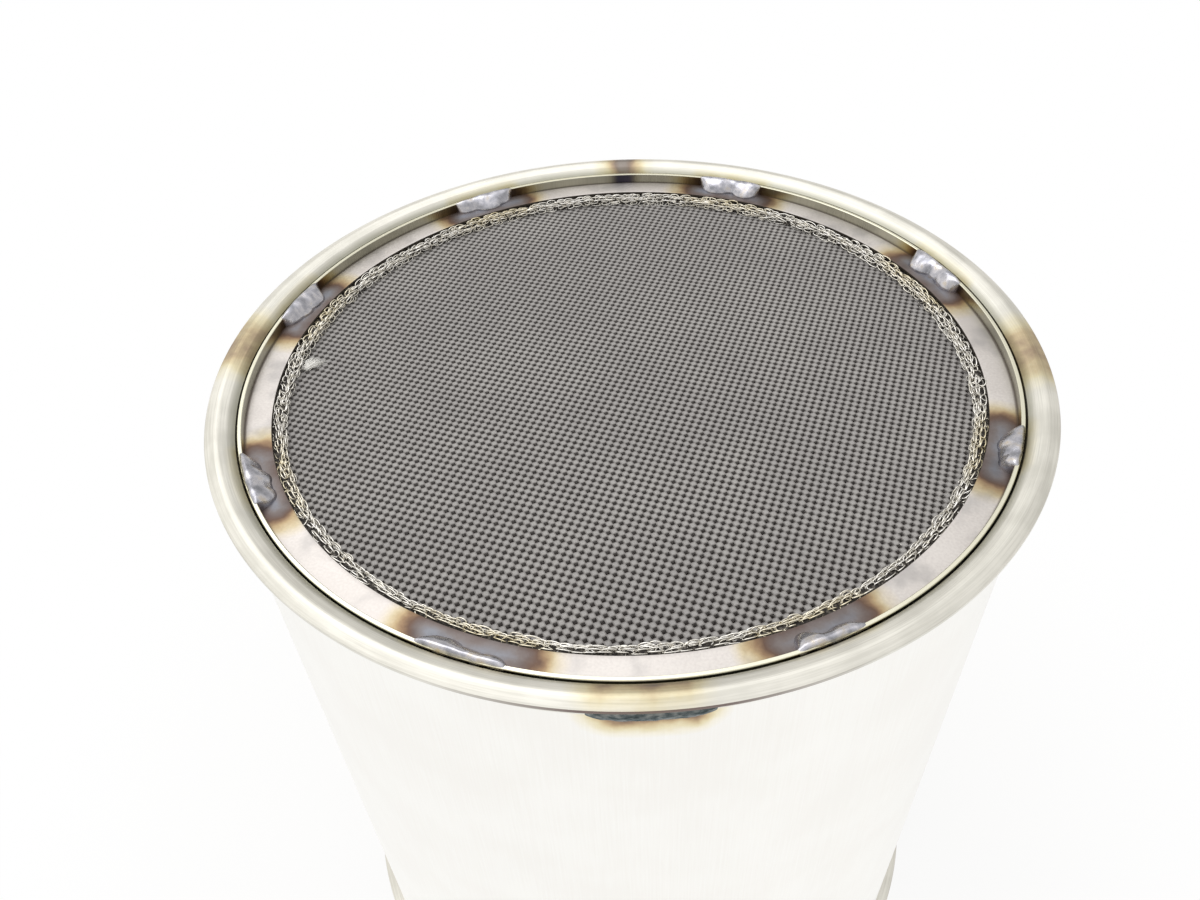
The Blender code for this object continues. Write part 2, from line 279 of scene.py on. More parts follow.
ceramic_fibre, tree, shader = new_material("ceramic_fibre", 0.0)
place = node(tree, "ShaderNodeTexCoord").outputs["Object"]
strands = node(
    tree, "ShaderNodeTexNoise", {"Vector": place, "Scale": 900.0, "Detail": 6.0, "Distortion": 2.5}
).outputs[0]
tone = blend(tree, spread(tree, strands, 0.35, 0.7), paint(248, 246, 241), paint(255, 255, 252))
finish(tree, shader, tone, 0.95, strands, 0.0001)
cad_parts["support_mat"].data.materials.clear()
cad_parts["support_mat"].data.materials.append(ceramic_fibre)

# Mesh seals
# A rope of knitted stainless wire lies on the rim of each face of the block. The ring above squeezes
# it, and its loops swell out past the ring's inner edge.

WIRE_RADIUS = 0.00026
LOOP_WIDTH = 0.0044
LOOP_POINTS = 20
LOOP_REACH = 0.0016
LOOP_LEAN = 0.34
LOOP_LIFT = 0.0004
LOOP_FUZZ = 0.0008
LOOP_SIZES = (0.6, 1.2)
STRAY_SHARE = 0.05
STRAY_SIZE = 1.35
TACK_RADIUS = 0.1375
TACK_LEVEL = 0.0055
ROPE_HEAT_REACH = 0.017
ROPE_HEAT_PEAK = 0.60
# Each row of loops round the rope: radius, height, and slope of the rope's surface in degrees
ROPE_ROWS = [
    (0.1247, 0.0011, 92),
    (0.1250, 0.0020, 70),
    (0.1257, 0.0026, 44),
    (0.1264, 0.0028, 18),
    (0.1272, 0.0025, -12),
]
ROPE_CORE = [
    (0.1374, 0.0004),
    (0.1374, 0.0022),
    (0.1284, 0.0022),
    (0.1270, 0.0027),
    (0.1258, 0.0025),
    (0.1251, 0.0015),
    (0.1250, 0.0004),
]
TURN_SIDES = 320
# Angle from +X and span of each tack weld, in degrees
TACKS = [
    (42.5, 11.5),
    (88.5, 12),
    (137.5, 11.5),
    (182, 11),
    (225.5, 11),
    (270, 11.5),
    (313.5, 9),
    (357.5, 8.5),
]


def turned_mesh(name, outline, end=None):
    """A closed outline of (radius, height) turned about the axis. With an end, heights start there."""
    outline = [(r, z if end is None else at_end(end, z)) for r, z in outline]
    pairs = zip(outline, outline[1:] + outline[:1])
    if sum(r0 * z1 - r1 * z0 for (r0, z0), (r1, z1) in pairs) < 0:
        outline.reverse()
    turns = np.arange(TURN_SIDES) * math.tau / TURN_SIDES
    r, z = np.array(outline).T
    points = np.stack(
        [np.outer(r, np.cos(turns)), np.outer(r, np.sin(turns)), np.repeat(z[:, None], TURN_SIDES, 1)],
        axis=-1,
    )
    ring = np.arange(len(outline))[:, None] * TURN_SIDES
    along = np.arange(TURN_SIDES)[None]
    beside = (along + 1) % TURN_SIDES
    above = np.roll(ring, -1, axis=0)
    faces = np.stack([ring + along, ring + beside, above + beside, above + along], axis=-1)
    mesh = bpy.data.meshes.new(name)
    mesh.from_pydata(points.reshape(-1, 3).tolist(), [], faces.reshape(-1, 4).tolist())
    mesh.shade_smooth()
    mesh.set_sharp_from_angle(angle=math.radians(32))
    return mesh


def lay_weld_nearness(mesh, welds, radius, z, reach, peak=1.0, store="weld_heat"):
    """Stores on each point how near it lies to these welds, from 0 to their peak: their heat, but painted
    shade on the flange's rim. No z is the whole height.
    """
    points = np.empty(len(mesh.vertices) * 3)
    mesh.vertices.foreach_get("co", points)
    points = points.reshape(-1, 3)
    r = np.hypot(points[:, 0], points[:, 1])
    turn = np.degrees(np.arctan2(points[:, 1], points[:, 0]))
    across = 0 if z is None else np.hypot(r - radius, points[:, 2] - z)
    layer = mesh.attributes.get(store) or mesh.attributes.new(store, "FLOAT", "POINT")
    heat = np.zeros(len(points))
    layer.data.foreach_get("value", heat)
    for angle, span in welds:
        beyond = np.maximum(np.abs((turn - angle + 180) % 360 - 180) - span / 2, 0)
        distance = np.hypot(np.radians(beyond) * r, across)
        heat = np.maximum(heat, peak * np.clip(1 - distance / reach, 0, 1))
    layer.data.foreach_set("value", heat)


def wire_row(row, radius, height, slope, chance):
    """One row of knitted loops round the rope: the closed wire's points, and the rope's normals there."""
    loops = round(math.tau * radius / LOOP_WIDTH)
    phase = np.arange(loops * LOOP_POINTS) * math.tau / LOOP_POINTS
    sizes = []
    for _ in range(loops):
        grown = STRAY_SIZE if chance.random() < STRAY_SHARE else 1
        sizes.append(chance.uniform(*LOOP_SIZES) * grown)
    size = np.interp(phase / math.tau, np.arange(loops + 1), sizes + sizes[:1])
    lift, slide, lean = [
        np.array([noise.noise(Vector((p * 1.7 / math.tau, row * 7.3, way))) for p in phase])
        * np.minimum(1, np.minimum(phase, phase[-1] - phase) / 6)
        for way in (0.5, 3.1, 8.7)
    ]
    along = row * 0.5 + LOOP_LEAN * np.sin(2 * phase) * size + 0.5 * lean
    turn = phase / loops + along * LOOP_WIDTH / radius
    across = LOOP_REACH * (np.cos(phase) * size + slide)
    out = LOOP_LIFT * np.cos(2 * phase) + LOOP_FUZZ * lift + LOOP_FUZZ * 0.6 * (size - 1)
    rise, run = math.sin(math.radians(slope)), math.cos(math.radians(slope))
    r = radius + across * run - out * rise
    h = height + across * rise + out * run
    line = np.stack([r * np.cos(turn), r * np.sin(turn), h], axis=1)
    normal = np.stack([-rise * np.cos(turn), -rise * np.sin(turn), np.full(len(turn), run)], axis=1)
    return line, normal


def knitted_mesh(name, end):
    """All the rows of loops of one rope. Each wire is a four-sided tube with smooth shading."""
    chance = random.Random(7 + end)
    tubes, faces, first = [], [], 0
    for row, (radius, height, slope) in enumerate(ROPE_ROWS):
        line, normal = wire_row(row, radius, height, slope, chance)
        ahead = np.roll(line, -1, axis=0) - np.roll(line, 1, axis=0)
        ahead /= np.linalg.norm(ahead, axis=1)[:, None]
        sideways = np.cross(ahead, normal)
        sideways /= np.linalg.norm(sideways, axis=1)[:, None]
        upright = np.cross(sideways, ahead)
        ways = (sideways, upright, -sideways, -upright)
        tube = np.stack([line + WIRE_RADIUS * way for way in ways], axis=1)
        tube[..., 2] = at_end(end, tube[..., 2])
        tubes.append(tube.reshape(-1, 3))
        here = first + np.arange(len(line))[:, None] * 4
        following = np.roll(here, -1, axis=0)
        corner = np.arange(4)[None]
        beside = (corner + 1) % 4
        quads = np.stack([here + corner, here + beside, following + beside, following + corner], axis=-1)
        faces += quads.reshape(-1, 4)[:, ::-end].tolist()
        first += len(tubes[-1])
    mesh = bpy.data.meshes.new(name)
    mesh.from_pydata(np.concatenate(tubes).tolist(), [], faces)
    mesh.shade_smooth()
    return mesh


def ramp(tree, value, stops):
    """A colour from a value, through stops of (place, colour)."""
    made = node(tree, "ShaderNodeValToRGB", {0: value})
    elements = made.color_ramp.elements
    while len(elements) < len(stops):
        elements.new(1.0)
    for element, (position, colour) in zip(elements, stops):
        element.position = position
        element.color = colour
    return made.outputs[0]


heat_tint, given, result = shader_group(
    "heat_tint",
    {"Steel": "NodeSocketColor", "Heat": "NodeSocketFloat"},
    {"Color": "NodeSocketColor"},
)
place = node(heat_tint, "ShaderNodeTexCoord").outputs["Object"]
waver = node(heat_tint, "ShaderNodeTexNoise", {"Vector": place, "Scale": 120.0, "Detail": 4.0}).outputs[0]
waver = maths(heat_tint, "MULTIPLY_ADD", waver, 0.44, -0.22)
gate = spread(heat_tint, given.outputs["Heat"], 0.02, 0.3)
heat = maths(heat_tint, "MULTIPLY_ADD", waver, gate, given.outputs["Heat"])
tint = ramp(
    heat_tint,
    heat,
    [
        (0.05, paint(255, 255, 255)),
        (0.20, paint(253, 249, 236)),
        (0.34, paint(240, 230, 198)),
        (0.45, paint(216, 196, 158)),
        (0.54, paint(174, 148, 120)),
        (0.63, paint(128, 106, 94)),
        (0.73, paint(132, 120, 117)),
        (0.85, paint(148, 143, 144)),
        (1.00, paint(160, 166, 178)),
    ],
)
tinted = node(
    heat_tint,
    "ShaderNodeMix",
    {0: 1.0, 6: given.outputs["Steel"], 7: tint},
    data_type="RGBA",
    blend_type="MULTIPLY",
).outputs[2]
heat_tint.links.new(tinted, result.inputs["Color"])


def heated(tree, colour):
    """A steel's colour with the tints that welding left on it."""
    heat = node(tree, "ShaderNodeAttribute", attribute_name="weld_heat").outputs["Fac"]
    return grouped(tree, heat_tint, {"Steel": colour, "Heat": heat})["Color"]


knitted_wire, tree, shader = new_material("knitted_wire", 1.0)
place = node(tree, "ShaderNodeTexCoord").outputs["Object"]
bends = node(tree, "ShaderNodeTexNoise", {"Vector": place, "Scale": 500.0, "Detail": 2.0}).outputs[0]
tone = blend(tree, spread(tree, bends, 0.3, 0.7), paint(240, 236, 226), paint(255, 253, 249))
finish(tree, shader, heated(tree, tone), 0.22, bends, 0.00003)

# The rope's heart is painted dark brown-black as painted shade: it stands for the shadow deep among the loops
# of wire.
shaded_rope_heart, tree, shader = new_material("shaded_rope_heart", 0.0)
place = node(tree, "ShaderNodeTexCoord").outputs["Object"]
tangle = node(tree, "ShaderNodeTexVoronoi", {"Vector": place, "Scale": 900.0}).outputs["Distance"]
tone = blend(tree, spread(tree, tangle, 0.1, 0.6), paint(118, 112, 104), paint(52, 48, 45))
finish(tree, shader, tone, 0.8, tangle, 0.0006)

for side, end in ENDS.items():
    core = turned_mesh(f"{side}_shaded_rope_heart", ROPE_CORE, end)
    add_piece(f"{side}_shaded_rope_heart", core, shaded_rope_heart, "knitted_wire", f"{side}_mesh_seal")
    loops = knitted_mesh(f"{side}_knitted_loops", end)
    lay_weld_nearness(loops, TACKS, TACK_RADIUS, at_end(end, TACK_LEVEL), ROPE_HEAT_REACH, ROPE_HEAT_PEAK)
    add_piece(f"{side}_knitted_loops", loops, knitted_wire, "knitted_wire", f"{side}_mesh_seal")

# Shred of mat
# A torn shred of ceramic fibre, left over when the mat was pressed in, has caught on the block's
# upper face beside the rope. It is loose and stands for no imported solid.

SHRED_FIBRES = 150
SHRED_RADIUS = 0.00022
SHRED_ROOT = (0.1230, 197)
SHRED_TIP = (0.1186, 193.4)


def shred_mesh():
    """Fine fibres that fan out from one torn root, each a three-sided tube that ends in a point."""
    chance = random.Random(11)
    root, tip = [
        Vector((r * math.cos(math.radians(turn)), r * math.sin(math.radians(turn)), at_end(1, 0)))
        for r, turn in (SHRED_ROOT, SHRED_TIP)
    ]
    along = tip - root
    aside = along.cross(Vector((0, 0, 1))) * 0.4
    shape = bmesh.new()
    for _ in range(SHRED_FIBRES):
        start = root + aside * chance.uniform(-0.5, 0.5) + along * chance.uniform(0, 0.3)
        stop = root + along * chance.uniform(0.5, 1.05) + aside * chance.uniform(-1.2, 1.2)
        bow = aside * chance.uniform(-0.3, 0.3) + Vector((0, 0, chance.uniform(0.0006, 0.0020)))
        rings = []
        for step in range(6):
            share = step / 5
            middle = start.lerp(stop, share) + bow * math.sin(math.pi * min(share + 0.1, 0.9))
            size = SHRED_RADIUS * (1.05 - share)
            sides = (aside.normalized() * size, Vector((0, 0, size)), -aside.normalized() * size)
            rings.append([shape.verts.new(middle + side) for side in sides])
        for ring, following in zip(rings, rings[1:]):
            for side in range(3):
                beside = (side + 1) % 3
                shape.faces.new((ring[side], ring[beside], following[beside], following[side]))
        shape.faces.new(rings[0][::-1])
        shape.faces.new(rings[-1])
    bmesh.ops.recalc_face_normals(shape, faces=shape.faces)
    mesh = bpy.data.meshes.new("shred")
    shape.to_mesh(mesh)
    shape.free()
    mesh.shade_smooth()
    return mesh


add_piece("mat_shred", shred_mesh(), ceramic_fibre, "ceramic_fibre")

# Can
# A thin stainless tube, rolled from sheet and welded along one seam. It holds the block in its mat,
# and its sheared edge stands above each end.

CAN_WALL = 0.0015
SHEARED_EDGE = 0.00025
TINT_STEP = 0.0015
# Angle from +X and span of the weld along the can, in degrees
CAN_SEAM = (109.5, 1.2)
SEAM_PATCH_REACH = 0.007
SEAM_HEAT_REACH = 0.008
SEAM_HEAT_PEAK = 0.5
WALL_HEAT_LEVEL = 0.0060
WALL_HEAT_REACH = 0.013
WALL_HEAT_PEAK = 0.66


def arc_corner(before, corner, after, radius, points=4):
    """Points that round one corner of an outline."""
    to_before, to_after = before - corner, after - corner
    half_angle = to_before.angle(to_after) / 2
    reach = min(radius / math.tan(half_angle), 0.45 * to_before.length, 0.45 * to_after.length)
    radius = reach * math.tan(half_angle)
    centre = corner + (to_before.normalized() + to_after.normalized()).normalized() * (
        radius / math.sin(half_angle)
    )
    start = corner + to_before.normalized() * reach - centre
    stop = corner + to_after.normalized() * reach - centre
    sweep = math.pi - 2 * half_angle
    shares = [step / (points - 1) for step in range(points)]
    return [
        centre + (start * math.sin((1 - s) * sweep) + stop * math.sin(s * sweep)) / math.sin(sweep)
        for s in shares
    ]


def rounded(corners, step=None):
    """A closed outline from (radius, height, corner radius). Long edges get a point at every step."""
    spots = [Vector((r, z)) for r, z, _ in corners]
    outline = []
    for index, (_, _, radius) in enumerate(corners):
        following = spots[(index + 1) % len(spots)]
        outline += arc_corner(spots[index - 1], spots[index], following, radius) if radius else [spots[index]]
    if step:
        fine = []
        for spot, following in zip(outline, outline[1:] + outline[:1]):
            parts = max(1, math.ceil((following - spot).length / step))
            fine += [spot.lerp(following, part / parts) for part in range(parts)]
        outline = fine
    return [(spot.x, spot.y) for spot in outline]


def wall_outline(inner, outer, bottom, top, edge):
    """A tube's section. Near each end it has a point at every step, and between them none."""
    near = [step * TINT_STEP for step in range(1, 20)]
    levels = [top - n for n in near] + [bottom + n for n in reversed(near)]
    down = [(outer, top - edge), *((outer, z) for z in levels), (outer, bottom + edge)]
    up = [(inner, bottom + edge), *((inner, z) for z in reversed(levels)), (inner, top - edge)]
    return (
        [(inner + edge, top), (outer - edge, top)]
        + down
        + [(outer - edge, bottom), (inner + edge, bottom)]
        + up
    )


rolled_grain, given, result = shader_group(
    "rolled_grain",
    {"Grain Width": "NodeSocketFloat"},
    {"Height": "NodeSocketFloat", "Tone": "NodeSocketFloat"},
)
place = node(rolled_grain, "ShaderNodeTexCoord").outputs["Object"]
fine = maths(rolled_grain, "DIVIDE", 1.0, given.outputs["Grain Width"])
scaled = node(
    rolled_grain, "ShaderNodeVectorMath", {0: place, "Scale": fine}, operation="SCALE"
).outputs[0]
stretched = node(
    rolled_grain, "ShaderNodeVectorMath", {0: scaled, 1: (1.0, 1.0, 0.02)}, operation="MULTIPLY"
).outputs[0]
streaks = node(
    rolled_grain, "ShaderNodeTexNoise", {"Vector": stretched, "Scale": 1.0, "Detail": 3.0}
).outputs[0]
cloudy = node(rolled_grain, "ShaderNodeTexNoise", {"Vector": place, "Scale": 28.0, "Detail": 2.0}).outputs[0]
cloud_share = maths(rolled_grain, "MULTIPLY", cloudy, 0.6)
sheet_tone = maths(rolled_grain, "MULTIPLY_ADD", streaks, 0.4, cloud_share)
rolled_grain.links.new(streaks, result.inputs["Height"])
rolled_grain.links.new(sheet_tone, result.inputs["Tone"])

can_low, can_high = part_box("can")
can_inner = can_high.x - CAN_WALL
half_can = (can_high.z - can_low.z) / 2

can_steel, tree, shader = new_material("can_steel", 1.0)
place = node(tree, "ShaderNodeTexCoord").outputs["Object"]
level = node(tree, "ShaderNodeSeparateXYZ", {0: place}).outputs["Z"]
from_middle = maths(tree, "ABSOLUTE", maths(tree, "SUBTRACT", level, block_middle))
# The top of the can's sheared edge is painted pale cream: partly its bare cut metal, partly a painted
# highlight where it faces the light from above.
sheared_edge_and_highlight = spread(tree, from_middle, half_can - SHEARED_EDGE, half_can - SHEARED_EDGE / 3)
sheet = grouped(tree, rolled_grain, {"Grain Width": 0.0005})
tone = blend(tree, spread(tree, sheet["Tone"], 0.35, 0.65), paint(154, 153, 138), paint(174, 172, 157))
seam = node(tree, "ShaderNodeAttribute", attribute_name="seam_heat").outputs["Fac"]
tone = blend(tree, spread(tree, seam, 0.0, 0.9), heated(tree, tone), paint(66, 64, 76))
tone = blend(tree, sheared_edge_and_highlight, tone, paint(250, 247, 226))
gloss = spread(tree, sheet["Tone"], 0.3, 0.7, 0.24, 0.36)
finish(tree, shader, tone, gloss, sheet["Height"], 0.00001)

can = turned_mesh("can", wall_outline(can_inner, can_high.x, can_low.z, can_high.z, SHEARED_EDGE))
lay_weld_nearness(can, [CAN_SEAM], can_inner, None, SEAM_HEAT_REACH, SEAM_HEAT_PEAK)
lay_weld_nearness(can, [CAN_SEAM], can_inner, None, SEAM_PATCH_REACH, store="seam_heat")
for end in ENDS.values():
    lay_weld_nearness(can, TACKS, can_inner, at_end(end, WALL_HEAT_LEVEL), WALL_HEAT_REACH, WALL_HEAT_PEAK)
add_piece("can_shell", can, can_steel, "can_steel", "can")

# Retaining rings
# Flat rings cut from stainless sheet, one inside each end of the can. Each presses on the wire rope
# and is held there by its tack welds. A thin line of painted shade runs where it meets the can.

RING_EDGE = 0.00015
RING_WIDTH = 0.0090
RING_FIT = 0.00002
RING_HEAT_RADIUS = 0.1330
RING_HEAT_REACH = 0.0175
RING_HEAT_PEAK = 0.98
ring_low, ring_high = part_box("upper_retaining_ring")
ring_inner = ring_high.x - RING_WIDTH
ring_outer = can_inner - RING_FIT
ring_bottom, ring_top = ring_low.z - block_high.z, ring_high.z - block_high.z


def from_axis(tree, spot):
    """The distance of a point from the filter's axis."""
    squared = maths(tree, "MULTIPLY_ADD", spot["Y"], spot["Y"], maths(tree, "MULTIPLY", spot["X"], spot["X"]))
    return maths(tree, "SQRT", squared)


ring_steel, tree, shader = new_material("ring_steel", 0.78)
place = node(tree, "ShaderNodeTexCoord").outputs["Object"]
radius = from_axis(tree, node(tree, "ShaderNodeSeparateXYZ", {0: place}).outputs)
# The ring's inner cut edge is painted dark: partly the oxide of the cut, partly painted shade on the edge's
# face.
cut_edge_oxide_and_shade = spread(tree, radius, ring_inner + RING_EDGE / 3, ring_inner + RING_EDGE, 1.0, 0.0)
# Painted shade: a dark brown line along the ring's outer edge, in the narrow gap where it meets the can.
joint_shade = spread(tree, radius, ring_outer - 0.0010, ring_outer - 0.0002, 0.0, 0.75)
smudge = node(tree, "ShaderNodeTexNoise", {"Vector": place, "Scale": 70.0, "Detail": 5.0}).outputs[0]
sheet = grouped(tree, rolled_grain, {"Grain Width": 0.0009})
tone = blend(tree, spread(tree, sheet["Tone"], 0.35, 0.65), paint(217, 211, 207), paint(233, 228, 224))
tone = blend(tree, spread(tree, smudge, 0.5, 0.72, 0.0, 0.6), tone, paint(178, 175, 174))
tone = blend(tree, joint_shade, heated(tree, tone), paint(96, 82, 76))
tone = blend(tree, cut_edge_oxide_and_shade, tone, paint(84, 78, 72))
gloss = spread(tree, sheet["Tone"], 0.3, 0.7, 0.40, 0.52)
finish(tree, shader, tone, gloss, sheet["Height"], 0.00001)

ring_corners = [
    (ring_outer, ring_top, 0),
    (ring_outer, ring_bottom, 0),
    (ring_inner, ring_bottom, RING_EDGE),
    (ring_inner, ring_top, RING_EDGE),
]
for side, end in ENDS.items():
    ring = turned_mesh(f"{side}_ring", rounded(ring_corners, TINT_STEP), end)
    lay_weld_nearness(ring, TACKS, RING_HEAT_RADIUS, at_end(end, ring_top), RING_HEAT_REACH, RING_HEAT_PEAK)
    add_piece(f"{side}_flat_ring", ring, ring_steel, "ring_steel", f"{side}_retaining_ring")

# Tack welds
# Eight lumpy beads of weld metal join each ring to the inside of the can. They were laid by hand, so
# each is two or three overlapping puddles, which run over the can's edge.

BEAD_STATIONS = 64
BEAD_POINTS = 16
BEAD_SINK = 0.0005
# Share of a tack's section that climbs from the ring to the can's edge. The rest laps over the edge.
TACK_CLIMB = 0.6
EDGE_LAP = 0.0002
# Scale and height of the lumps on a bead, coarse and fine
LUMPS = [(300, 0.00018), (1100, 0.00002)]
can_edge = can_high.z - block_high.z


def puddles(chance):
    """Three overlapping puddles along a bead: middle, half length, width and crown."""
    return [
        (
            middle + chance.uniform(-0.08, 0.08),
            chance.uniform(0.40, 0.6),
            chance.uniform(0.0040, 0.0072),
            chance.uniform(0.0007, 0.0016),
        )
        for middle in (-0.55, 0.0, 0.55)
    ]


def bead_size(pools, along):
    """Width and crown of a bead at a place along it, from -1 to 1."""
    width = crown = 0
    for middle, half, pool_width, pool_crown in pools:
        fullness = math.sqrt(max(0, 1 - ((along - middle) / half) ** 2))
        width += (pool_width * fullness) ** 3
        crown += (pool_crown * fullness) ** 3
    taper = max(0, 1 - abs(along) ** 8) ** 0.5
    return width ** (1 / 3) * taper, crown ** (1 / 3) * taper


def tack_section(width, crown, wander):
    """Points from the bead's toe on the ring, up over the can's edge, and back inside the metal."""
    section = []
    for step in range(BEAD_POINTS):
        share = step / (BEAD_POINTS - 1)
        bulge = crown * math.sin(math.pi * min(1, share * 1.05)) ** 0.8
        if share < TACK_CLIMB:
            climb = share / TACK_CLIMB
            r = can_inner - width * (1 - climb)
            h = ring_top - 0.0001 + (can_edge - ring_top) * (1 - (1 - climb) ** 1.7) + bulge
        else:
            lap = (share - TACK_CLIMB) / (1 - TACK_CLIMB)
            r = can_inner + (CAN_WALL + EDGE_LAP + wander) * lap
            h = can_edge - 0.00005 + bulge - 0.0006 * lap**3
        section.append((r, h))
    return section + [
        (can_inner + CAN_WALL * 0.6, can_edge - 0.002),
        (can_inner + CAN_WALL * 0.4, ring_top - BEAD_SINK),
        (can_inner - width * 0.9, ring_top - BEAD_SINK),
    ]


def bead_mesh(name, angle, span, end, section_at):
    """A bead lofted along an arc through section_at(place from -1 to 1), roughened a little."""
    points, faces = [], []
    for station in range(BEAD_STATIONS):
        along = 2 * station / (BEAD_STATIONS - 1) - 1
        turn = math.radians(angle + along * span / 2)
        for r, h in section_at(along):
            spot = Vector((r * math.cos(turn), r * math.sin(turn), at_end(end, h)))
            lump = sum(noise.noise(spot * scale) * height for scale, height in LUMPS)
            outward = Vector((spot.x, spot.y, 0)).normalized()
            points.append(spot + outward * -0.5 * lump + Vector((0, 0, end * lump)))
    size = len(points) // BEAD_STATIONS
    for station in range(BEAD_STATIONS - 1):
        for index in range(size):
            beside = (index + 1) % size
            here, there = station * size, (station + 1) * size
            faces.append((here + index, here + beside, there + beside, there + index))
    faces += [tuple(range(size)), tuple(range(len(points) - size, len(points)))]
    mesh = bpy.data.meshes.new(name)
    mesh.from_pydata(points, [], faces)
    shape = bmesh.new()
    shape.from_mesh(mesh)
    bmesh.ops.recalc_face_normals(shape, faces=shape.faces)
    shape.to_mesh(mesh)
    shape.free()
    mesh.shade_smooth()
    return mesh


weld_metal, tree, shader = new_material("weld_metal", 1.0)
place = node(tree, "ShaderNodeTexCoord").outputs["Object"]
blotch = node(tree, "ShaderNodeTexNoise", {"Vector": place, "Scale": 260.0, "Detail": 4.0}).outputs[0]
skin = node(tree, "ShaderNodeTexNoise", {"Vector": place, "Scale": 1500.0, "Detail": 5.0}).outputs[0]
tone = ramp(
    tree,
    blotch,
    [
        (0.30, paint(150, 151, 158)),
        (0.45, paint(184, 184, 192)),
        (0.58, paint(212, 210, 215)),
        (0.72, paint(212, 200, 182)),
    ],
)
finish(tree, shader, tone, spread(tree, skin, 0.3, 0.7, 0.16, 0.32), skin, 0.00002)

for side, end in ENDS.items():
    for number, (angle, span) in enumerate(TACKS, 1):
        chance = random.Random(number * 31 + end)
        pools = puddles(chance)
        drift = chance.uniform(0, 9)
        bead = bead_mesh(
            f"{side}_tack_{number}",
            angle,
            span,
            end,
            lambda along: tack_section(
                *bead_size(pools, along), 0.0002 * noise.noise(Vector((along * 4, drift, 0)))
            ),
        )
        add_piece(
            f"{side}_tack_bead_{number}", bead, weld_metal, "weld_bead", f"{side}_tack_weld_{number}"
        )

# Insulation blanket
# A blanket of glass wool wrapped round the can, which keeps the heat in. Nothing of it shows, and
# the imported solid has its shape.

glass_wool, tree, shader = new_material("glass_wool", 0.0)
place = node(tree, "ShaderNodeTexCoord").outputs["Object"]
tufts = node(
    tree, "ShaderNodeTexNoise", {"Vector": place, "Scale": 450.0, "Detail": 6.0, "Distortion": 3.0}
).outputs[0]
tone = blend(tree, spread(tree, tufts, 0.3, 0.7), paint(214, 206, 176), paint(240, 236, 218))
finish(tree, shader, tone, 1.0, tufts, 0.0008)
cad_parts["insulation_blanket"].data.materials.clear()
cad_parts["insulation_blanket"].data.materials.append(glass_wool)

# Jacket
# A thin stainless sheet rolled round the blanket. It butts up under the two flanges, and four short
# welds at each end hold it there.

JACKET_WALL = 0.0012
JACKET_EDGE = 0.0002
# Angle from +X and span of each stitch weld, in degrees
STITCHES = [(17.5, 14.4), (109.5, 14.4), (195.5, 14.4), (292, 14.4)]
STITCH_RADIUS = 0.1455
STITCH_LEVEL = 0.0004
COOL_ENDS = 6
JACKET_HEAT_REACH = 0.013
JACKET_HEAT_PEAK = 0.74

jacket_steel, tree, shader = new_material("jacket_steel", 1.0)
sheet = grouped(tree, rolled_grain, {"Grain Width": 0.0006})
tone = blend(tree, spread(tree, sheet["Tone"], 0.35, 0.65), paint(250, 248, 243), paint(255, 254, 250))
gloss = spread(tree, sheet["Tone"], 0.3, 0.7, 0.30, 0.40)
finish(tree, shader, heated(tree, tone), gloss, sheet["Height"], 0.000005)

jacket_low, jacket_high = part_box("jacket")
jacket_radius = jacket_high.x
jacket = turned_mesh(
    "jacket",
    wall_outline(jacket_radius - JACKET_WALL, jacket_radius, jacket_low.z, jacket_high.z, JACKET_EDGE),
)
middles = [(angle, span - COOL_ENDS) for angle, span in STITCHES]
for end in ENDS.values():
    lay_weld_nearness(jacket, middles, STITCH_RADIUS, at_end(end, 0), JACKET_HEAT_REACH, JACKET_HEAT_PEAK)
add_piece("jacket_sheet", jacket, jacket_steel, "jacket_steel", "jacket")

# Flanges
# A turned stainless ring round each end of the can, for a V-band clamp. Its face rises on a cone to
# a narrow sealing land and falls to the rim, and the back of the rim slopes at the clamp's angle.
# The flange isn't quite concentric with the can, so the gap between them is widest on one side.

# Radius, height and rounding of the face's crown and of the shoulder inside it
CROWN = (0.1458, 0.01143, 0.0029)
SHOULDER = (0.1423, 0.0100, 0.0020)
THROAT = (0.1400, 0.0081)
THROAT_DEPTH = 0.0050
THROAT_OFFSET = (0.0002, -0.00038)
RIM_TOP = 0.0098
RIM_THICKNESS = 0.0011
BACK_SLOPE = math.radians(20)
COLLAR_STEP = 0.0003
SPIGOT_DEPTH = 0.0040
# Angle, span and peak of the tint that each stitch weld under the face left on it. The last one is
# stronger on the inner slope.
FACE_TINTS = [(17.5, 8, 0.48), (109.5, 0.5, 0.76), (195.5, 8, 0.48), (292, 4, 0.24)]
FACE_TINT_REACH = 0.015
INNER_TINT = (291, 9)
INNER_TINT_REACH = 0.011
INNER_TINT_PEAK = 0.54
# How far round from the stitch welds, and how strongly, the rim's outer face is painted with shade
RIM_SHADE_REACH = 0.045
RIM_SHADE_PEAK = 0.9
# The tacks tinted the flange's throat a little, across the gap
THROAT_HEAT_RADIUS = 0.1385
THROAT_HEAT_REACH = 0.0065
THROAT_HEAT_PEAK = 0.4

rim_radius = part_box("upper_flange")[1].x
collar = jacket_radius + COLLAR_STEP
rim_bottom = RIM_TOP - RIM_THICKNESS
neck = rim_bottom - (rim_radius - collar) * math.tan(BACK_SLOPE)
bore = can_high.x + 0.0003
spigot = jacket_radius - JACKET_WALL - 0.0003

